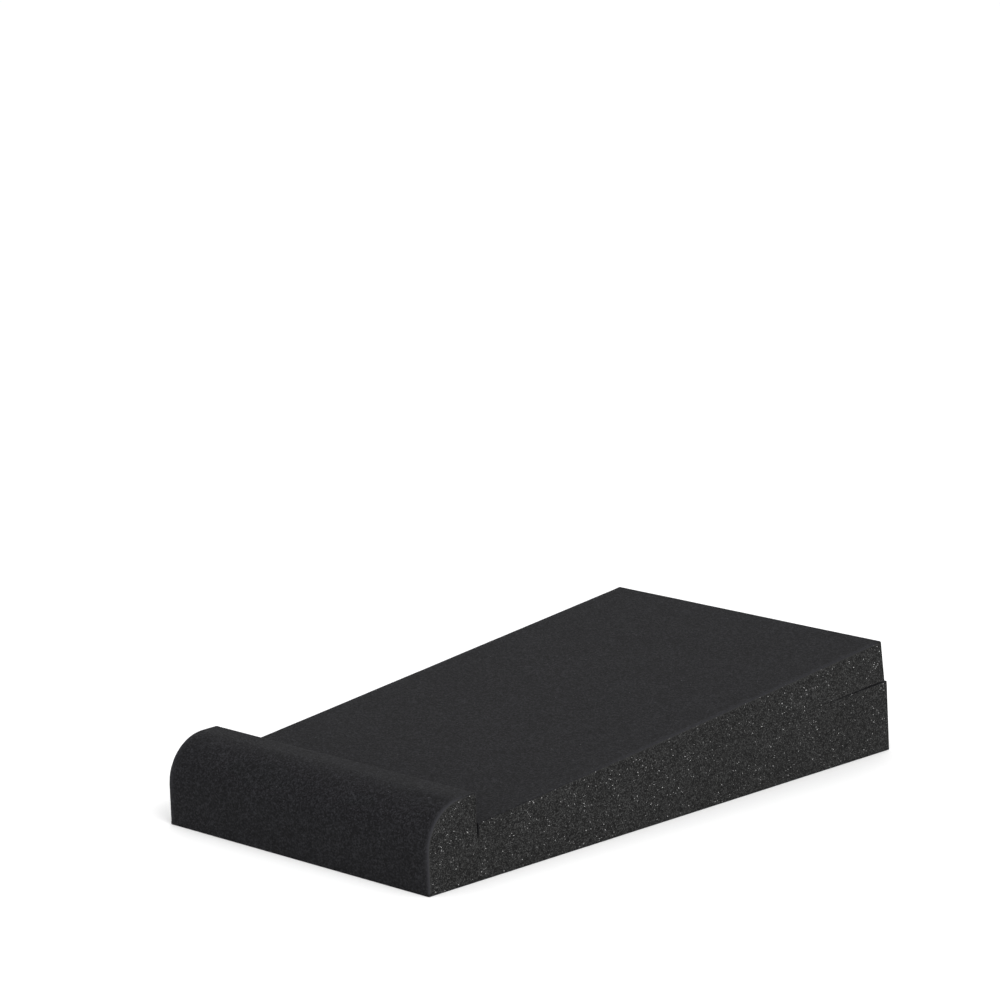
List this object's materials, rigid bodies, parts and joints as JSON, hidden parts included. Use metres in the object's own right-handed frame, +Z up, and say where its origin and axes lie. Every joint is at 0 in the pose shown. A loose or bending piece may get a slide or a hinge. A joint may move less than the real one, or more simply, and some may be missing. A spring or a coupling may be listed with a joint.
{
  "type": "speaker isolation pad",
  "caption": "Sloping foam pad that stands a desktop loudspeaker clear of the desk: a base with a rounded front lip, and a loose foam wedge on it that leans the speaker forward.",
  "frame": {"origin": "centre of the base's underside, in the plane it stands on", "axes": "+X across the pad, +Y from the lip to the rear, +Z up"},
  "size_m": [0.2, 0.348, 0.0629],
  "materials": {
    "foam": "matte"
  },
  "bodies": {
    "root": {"base_pad": "foam", "wedge_insert": "foam"}
  },
  "joints": []
}
